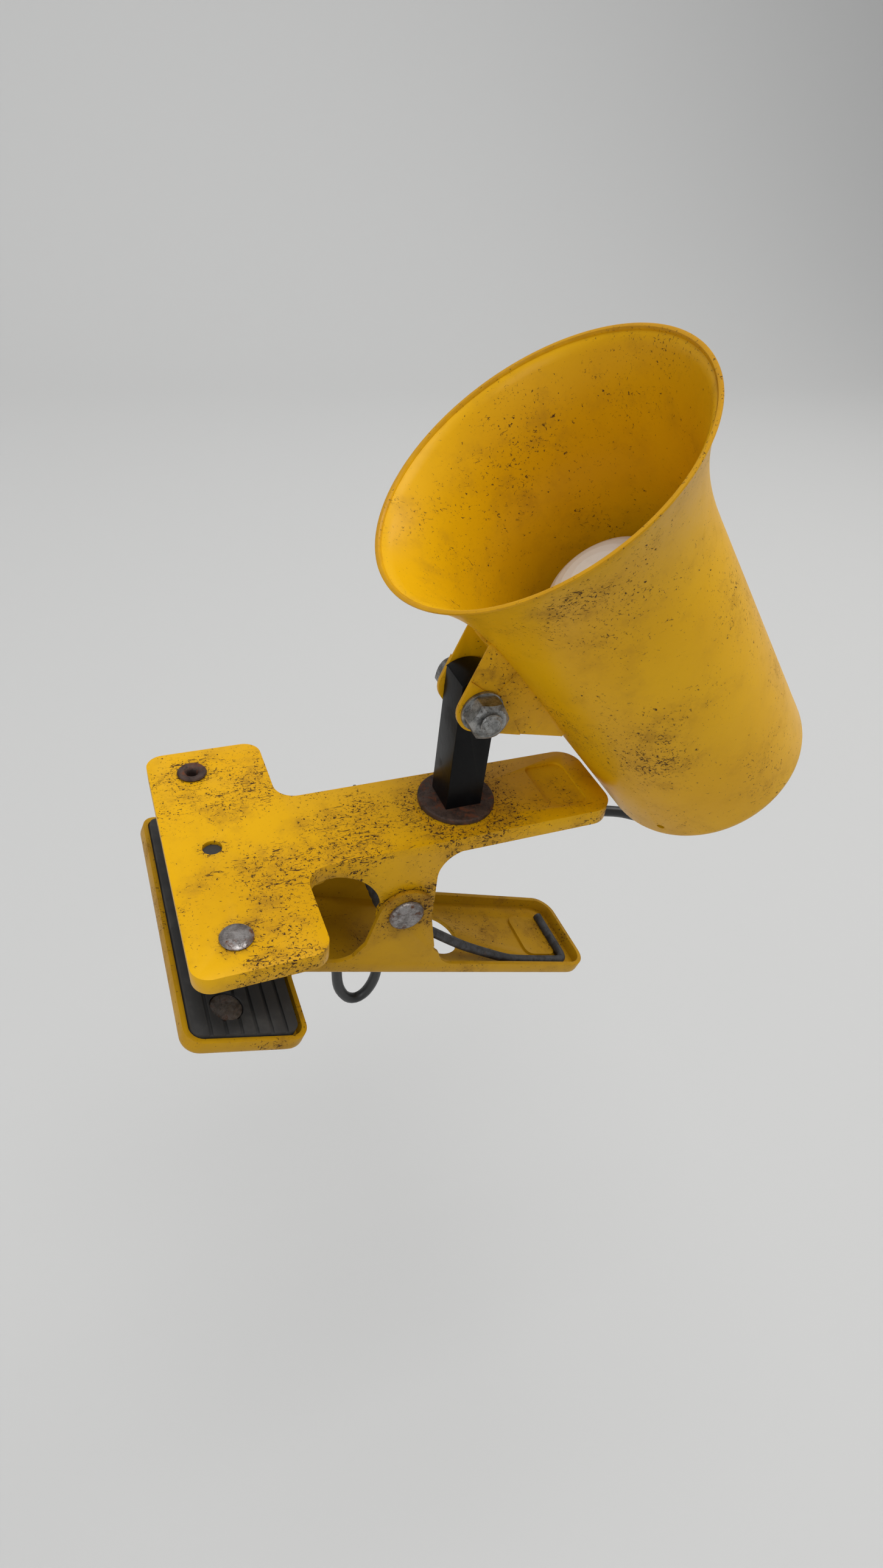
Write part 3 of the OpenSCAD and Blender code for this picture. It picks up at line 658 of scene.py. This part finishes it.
# ---------------------------------------------------------------- clamp

RIM_ROLL = 2.1 * MM  # radius of the jaws' pressed outer edges
PLATE_TOP = 6.4 * MM
WEB_BELOW_PIVOT = 26.1 * MM


def roll_rim(piece, is_rim, width, segments=5):
    """Round the long outer edge of a pressed plate."""
    bm = open_mesh(piece, "EDGE")
    for edge in bm.edges:
        edge.select = is_rim(edge)
    show(bm, piece)
    bpy.ops.mesh.bevel(offset=width, offset_type="OFFSET", segments=segments, profile=0.5, affect="EDGES",
                       clamp_overlap=False)
    close_mesh()


def turns_down(edge):
    """True where a flat face meets an upright one."""
    flat = [f for f in edge.link_faces if abs(f.normal.z) > 0.9]
    wall = [f for f in edge.link_faces if abs(f.normal.z) < 0.1]
    return len(flat) == 1 and len(wall) == 1


def upper_rim(edge):
    """True on the upper plate's outer edge, but not round its washer ring, holes or thumb recess."""
    middle = edge_middle(edge)
    if abs(middle.z - PLATE_TOP) > 2e-5 or len(edge.link_faces) != 2:
        return False
    if abs(edge.verts[0].co.z - edge.verts[1].co.z) > 1e-6:
        return False
    if not turns_down(edge):
        return False
    for x, y, reach in ((POST_X, 0, 0.0135), (-0.0045, 0, 0.0034), (-0.0045, 0.032, 0.0034),
                        (-0.0045, -0.032, 0.0034)):
        if (Vector((middle.x, middle.y)) - Vector((x, y))).length < reach:
            return False
    return not (0.0910 < middle.x < 0.1060 and abs(middle.y) < 0.0105)


def make_upper_jaw():
    jaw = pressing("upper_jaw", "upper_jaw_pressing")
    roll_rim(jaw, upper_rim, RIM_ROLL)
    round_edges(jaw, 0.22 * MM, 2, 50)
    smooth(jaw, 40)
    return jaw


def make_lower_jaw():
    jaw = pressing("lower_jaw", "lower_jaw_pressing")
    back = LOWER.inverted()
    jaw.data.transform(back)

    def rim(edge):
        middle = edge_middle(edge)
        if abs(middle.z + WEB_BELOW_PIVOT) > 2e-5 or len(edge.link_faces) != 2:
            return False
        if not turns_down(edge):
            return False
        for x, y, reach in ((0.029, 0, 0.0100), (-0.0505, 0.032, 0.0034), (-0.0505, -0.032, 0.0034)):
            if (Vector((middle.x, middle.y)) - Vector((x, y))).length < reach:
                return False
        return not (0.0640 < middle.x < 0.0780 and abs(middle.y) < 0.0095)

    roll_rim(jaw, rim, RIM_ROLL)
    round_edges(jaw, 0.22 * MM, 2, 50)
    jaw.data.transform(LOWER)
    smooth(jaw, 40)
    return jaw


belongs(make_upper_jaw(), "clamp", "enamel", PAINT_UPPER, "upper_jaw")
# The lower jaw takes the darker enamel copy, which is painted shade.
belongs(make_lower_jaw(), "lower", "enamel", PAINT_LOWER_SHADED, "lower_jaw")


def soften(node, name, width, body, slot, material, segments=2, angle=35, smooth_angle=35):
    piece = pressing(node, name)
    round_edges(piece, width * MM, segments, angle)
    smooth(piece, smooth_angle)
    return belongs(piece, body, slot, material, node)


soften("upper_pad", "upper_pad_rubber", 0.35, "clamp", "pad_rubber", RUBBER)
soften("lower_pad", "lower_pad_rubber", 0.35, "lower", "pad_rubber", RUBBER)


def make_pivot_rivet():
    parts = [rod("shank", 3 * MM, 36 * MM, at(46, 0, -18.5) @ ALONG_Y, 40)]
    for side in (-1, 1):
        head = lathe("head", [(0.001, 16.6), (5.25, 16.6), (5.25, 17.0), (5.0, 17.6), (4.3, 18.0),
                              (3.0, 18.12), (1.5, 18.0),
                              (0.6, 17.95), (0.001, 17.95)],
                     at(46, 0, -18.5) @ Matrix.Rotation(math.radians(-90 * side), 4, "X"), 48)
        parts.append(head)
    return join("pivot_rivet_heads", *parts)


def make_pad_rivets():
    solid = lathe("near_rivet", [(0.001, 1.3), (2.5, 1.3), (2.5, 6.3), (4.05, 6.35), (4.15, 6.65),
                                 (3.75, 7.0), (2.6, 7.1),
                                 (1.2, 7.05), (0.001, 7.02)], at(-4.5, -32, 0), 40)
    hollow = lathe("far_rivet", [(1.55, 1.3), (2.5, 1.3), (2.5, 6.3), (4.0, 6.35), (4.2, 6.7), (3.9, 7.1),
                                 (3.1, 7.2), (2.2, 6.9),
                                 (1.7, 6.3), (1.55, 5.0), (1.55, 1.3)], at(-4.5, 32, 0), 40)
    for piece in (solid, hollow):
        smooth(piece, 40)
    return solid, hollow


PIVOT_RIVET = make_pivot_rivet()
smooth(PIVOT_RIVET, 40)
belongs(PIVOT_RIVET, "clamp", "bare_steel", RIVET_STEEL, "pivot_rivet")
SOLID_RIVET, HOLLOW_RIVET = make_pad_rivets()
belongs(SOLID_RIVET, "clamp", "bare_steel", RIVET_STEEL, "solid_rivet")
belongs(HOLLOW_RIVET, "clamp", "rusty_steel", RUSTY, "tubular_rivet")


COIL_R, COIL_PITCH, SPRING_R = 5.9, 3.5, 1.6


def coil(start_angle, end_angle, y0, steps_per_turn=40):
    """Spring turns about the pivot, in millimetres, starting at y0."""
    count = int(abs(end_angle - start_angle) / 360 * steps_per_turn)
    out = []
    for k in range(count + 1):
        swept = (end_angle - start_angle) * k / count
        a = math.radians(start_angle + swept)
        out.append((COIL_R * math.cos(a), y0 + COIL_PITCH * abs(swept) / 360, COIL_R * math.sin(a)))
    return out


def make_spring():
    """The spring as its two halves: turns with the upper leg, and the leg hooked over the handle."""
    upper_leg = [(5, 10.9, 6.7), (10, 11, 9.6), (16, 11, 14.6), (21, 11, 18.9), (26, 11, 21.2),
                 (32, 11, 21.7),
                 (42, 11, 21.7), (52, 11, 21.7)]
    path = [PIVOT + Vector(p) * MM for p in coil(-71, -270 - 1800, -8.68)]
    leg = [PIVOT + p for p in smooth_path([tuple((path[-1] - PIVOT) / MM)] + upper_leg, 5)]
    top = wire("spring_turns", path + leg[1:], SPRING_R * MM, 14)
    web = -23.0
    lower_leg = [(78.6, 9, web), (78.6, 0, web), (78.6, -8.6, web), (78.0, -11.0, web), (76.2, -12.2, web),
                 (72, -12.4, web), (62, -12.4, web), (54, -12, web), (46, -11.8, -21.4), (32, -11.6, -17.6),
                 (18, -11.6, -12.2), (8, -11.6, -8.2)]
    lead_in = smooth_path(lower_leg + coil(-110, -400, -11.6, 24)[:1], 5)
    turns = [Vector(p) * MM for p in coil(-110, -400, -11.6)]
    bottom = wire("spring_hook", [LOWER @ p for p in lead_in[:-1] + turns], SPRING_R * MM, 14)
    return top, bottom


SPRING_TURNS, SPRING_HOOK = make_spring()
belongs(SPRING_TURNS, "clamp", "spring_wire", SPRING_STEEL, "spring_coil")
belongs(SPRING_HOOK, "lower", "spring_wire", SPRING_STEEL, "spring_leg")


# ---------------------------------------------------------------- arm

soften("arm_post", "arm_post_bar", 0.45, "arm", "dark_steel", POST_PAINT, 3)
soften("swivel_washer", "swivel_washer_ring", 0.55, "arm", "rusty_steel", RUSTY, 3)
soften("swivel_nut", "swivel_nut_hex", 0.4, "arm", "bare_steel", NUT_STEEL)
soften("under_washer", "under_washer_ring", 0.2, "arm", "bare_steel", NUT_STEEL)
soften("spring_washer", "spring_washer_ring", 0.2, "arm", "bare_steel", NUT_STEEL)


# ---------------------------------------------------------------- head

def flare(t):
    return t ** 2.4


def make_shade():
    """The spun shade, its outline taken round both sides of the wall, then its holes."""
    tube, mouth, length, opening, wall = 31.7, 42.0, 127.0, 39.0, 1.1
    outer = [(0.001, 0)]
    for k in range(9):
        a = math.radians(-90 + 11.25 * k)
        outer.append((tube - 5 + 5 * math.cos(a), 5 + 5 * math.sin(a)))
    outer += [(tube, 30), (tube, 60)]
    for k in range(25):
        t = k / 24
        outer.append((tube + (mouth - tube) * flare(t), length - opening + opening * t - 0.5 * (k == 24)))
    rim = [(mouth - 0.05, length - 0.1), (mouth - 0.5, length), (mouth - 1.0, length - 0.1),
           (mouth - 1.35, length - 0.6)]
    inner = []
    for k in range(24, -1, -1):
        t = k / 24
        inner.append((tube - wall + (mouth - 0.25 - tube) * flare(t),
                      length - opening + opening * t - 1.0 * (k == 24)))
    inner += [(tube - wall, 60), (tube - wall, 30)]
    for k in range(8, -1, -1):
        a = math.radians(-90 + 11.25 * k)
        inner.append((tube - 5 + 3.9 * math.cos(a), 5 + 3.9 * math.sin(a)))
    inner.append((0.001, wall))
    shade = lathe("shade_spinning", outer + rim + inner, Matrix.Identity(4), 144)
    tools = [rod("bore", 5 * MM, 6 * MM, at(0, 0, 1), 40),
             rod("switch_bore", 5 * MM, 6 * MM, at(19.5, 0, 1), 40)]
    for angle in (216, -24, 96):
        tools.append(rod("vent", 1.2 * MM, 8 * MM,
                         Matrix.Rotation(math.radians(angle), 4, "Z") @ at(31.5, 0, 9)
                         @ Matrix.Rotation(math.radians(90), 4, "Y"), 16))
    cut(shade, *tools)
    settle(shade, SHADE)
    smooth(shade, 38)
    return shade


SHADE_PIECE = make_shade()
belongs(SHADE_PIECE, "head", "enamel", PAINT_SHADE, "shade")


def make_bracket():
    """Two pressed ears with a raised band from the bolt to the shade, the sides set back from it."""
    bracket = pressing("head_bracket", "head_bracket_pressing")
    bracket.data.transform(HEAD.inverted())
    tools = []
    for side in (-1, 1):
        for z, depth, lean, slope in ((12.1, 7.06, -12, 2.5), (-22.2, 7.14, 12, -1.9)):
            tools.append(block("relief", (26 * MM, 1.2 * MM, 18 * MM),
                               at(15.5, side * depth, z) @ Matrix.Rotation(math.radians(lean), 4, "Y")
                               @ Matrix.Rotation(math.radians(side * slope), 4, "X")))
    cut(bracket, *tools)
    round_edges(bracket, 0.25 * MM, 2, 30)
    bracket.data.transform(HEAD)
    smooth(bracket, 35)
    return bracket


belongs(make_bracket(), "head", "enamel", PAINT_BRACKET, "head_bracket")


def make_tilt_nut():
    """A chamfered hexagon nut, and the bolt's threaded end with its hexagon head."""
    face = HEAD @ ALONG_Y
    nut = lathe("nut", [(0.001, -13.2), (4.3, -13.2), (5.0, -12.75), (5.7, -12.2), (5.7, -8.7), (5.2, -8.2),
                        (0.001, -8.2)],
                Matrix.Identity(4), 48)
    tools = []
    for k in range(6):
        tools.append(block("flat", (4 * MM, 12 * MM, 8 * MM),
                           Matrix.Rotation(math.radians(60 * k + 12), 4, "Z") @ at(7.0, 0, -10.7)))
    cut(nut, *tools)
    settle(nut, face)
    smooth(nut, 30)
    thread = [(0.001, -14.6), (2.1, -14.6), (2.5, -14.3)]
    z = -14.2
    while z < -13.0:
        thread += [(2.95, z), (2.6, z + 0.3)]
        z += 0.6
    thread += [(2.9, -12.9), (2.9, 8.0), (0.001, 8.0)]
    bolt = lathe("bolt", thread, face, 40)
    head = lathe("bolt_head", [(0.001, 8.1), (5.7, 8.1), (5.7, 11.4), (5.0, 12.1), (0.001, 12.2)],
                 Matrix.Identity(4), 48)
    tools = []
    for k in range(6):
        tools.append(block("flat", (4 * MM, 12 * MM, 8 * MM),
                           Matrix.Rotation(math.radians(60 * k), 4, "Z") @ at(7.0, 0, 10)))
    cut(head, *tools)
    settle(head, face)
    bolt = join("tilt_bolt_thread", bolt, head)
    smooth(bolt, 35)
    return nut, bolt


NUT, BOLT = make_tilt_nut()
NUT.name = "tilt_nut_hex"
belongs(NUT, "head", "bare_steel", NUT_STEEL, "tilt_nut")
belongs(BOLT, "head", "bare_steel", NUT_STEEL, "tilt_bolt")
soften("tilt_washers", "tilt_washer_rings", 0.2, "head", "bare_steel", NUT_STEEL)
soften("nipple_nut", "nipple_nut_hex", 0.3, "head", "brass", BRASS)
soften("switch_nut", "switch_nut_ring", 0.3, "head", "bare_steel", NUT_STEEL)
soften("switch_button", "switch_button_cap", 0.6, "button", "black_plastic", BLACK_PLASTIC, 3)
soften("strain_relief", "strain_relief_boot", 0.5, "head", "flex_skin", FLEX_SKIN, 3)


def finish(node, material):
    """Give a solid that shows as it is its material."""
    piece = NODES[node]
    piece.data.materials.clear()
    piece.data.materials.append(material)


for node, material in (
        ("swivel_stud", NUT_STEEL), ("friction_washers", RUSTY), ("lower_pad_rivets", RIVET_STEEL),
        ("holder_body", BAKELITE), ("holder_shell", BRASS), ("holder_contact", BRASS),
                       ("holder_nipple", BRASS),
        ("terminal_screws", BRASS), ("lead_wires", WIRE_SKIN), ("switch_body", BLACK_PLASTIC),
        ("bulb_glass", GLASS), ("bulb_cap", CAP_METAL), ("bulb_tip", BAKELITE), ("bulb_stem", GLASS),
        ("bulb_filament", SPRING_STEEL)):
    finish(node, material)


# ---------------------------------------------------------------- room

def set_stage():
    """A pale floor that sweeps up into a wall behind the lamp."""
    clear()
    bpy.ops.mesh.primitive_plane_add(size=40, location=(0.3, -18.1, -0.42))
    floor = bpy.context.object
    floor.name = "floor"
    settle(floor)
    bm = open_mesh(floor, "EDGE")
    for edge in bm.edges:
        edge.select = edge_middle(edge).y > 1.8
    show(bm, floor)
    bpy.ops.mesh.spin(steps=24, angle=math.radians(90), center=(0.3, 1.9, 1.08), axis=(-1, 0, 0))
    bpy.ops.mesh.extrude_region_move(TRANSFORM_OT_translate={"value": (0, 0, 4)})
    close_mesh()
    smooth(floor, 40)
    material, tree, skin, place = start_material("pale_floor", roughness=0.9, Specular_IOR_Level=0.2)
    skin.inputs["Base Color"].default_value = (0.52, 0.52, 0.515, 1)
    floor.data.materials.append(material)


def soft_light(name, place, target, size, power, colour=(1, 1, 1)):
    lamp = bpy.data.lights.new(name, "AREA")
    lamp.shape = "RECTANGLE"
    lamp.size = size
    lamp.size_y = size * 0.7
    lamp.energy = power
    lamp.color = colour
    holder = bpy.data.objects.new(name, lamp)
    bpy.context.scene.collection.objects.link(holder)
    aim = Vector(target) - Vector(place)
    holder.matrix_world = Matrix.Translation(place) @ aim.to_track_quat("-Z", "Y").to_matrix().to_4x4()


def set_lights():
    middle = (0.06, 0.0, 0.03)
    soft_light("window", (2.0, 0.5, 2.3), middle, 1.7, 30, (1.0, 0.985, 0.96))
    soft_light("ceiling", (0.1, -0.7, 3.0), middle, 2.0, 38)
    soft_light("fill", (-2.2, -1.6, 0.9), middle, 1.5, 18, (0.97, 0.98, 1.0))
    soft_light("wall_wash", (0.2, 0.6, 4.2), (0.3, 3.4, 0.8), 3.0, 60)
    world = bpy.data.worlds.new("room")
    world.use_nodes = True
    world.node_tree.nodes["Background"].inputs["Color"].default_value = (0.86, 0.87, 0.88, 1)
    world.node_tree.nodes["Background"].inputs["Strength"].default_value = 0.56
    bpy.context.scene.world = world
    bpy.context.scene.view_settings.view_transform = "Standard"


set_stage()
set_lights()
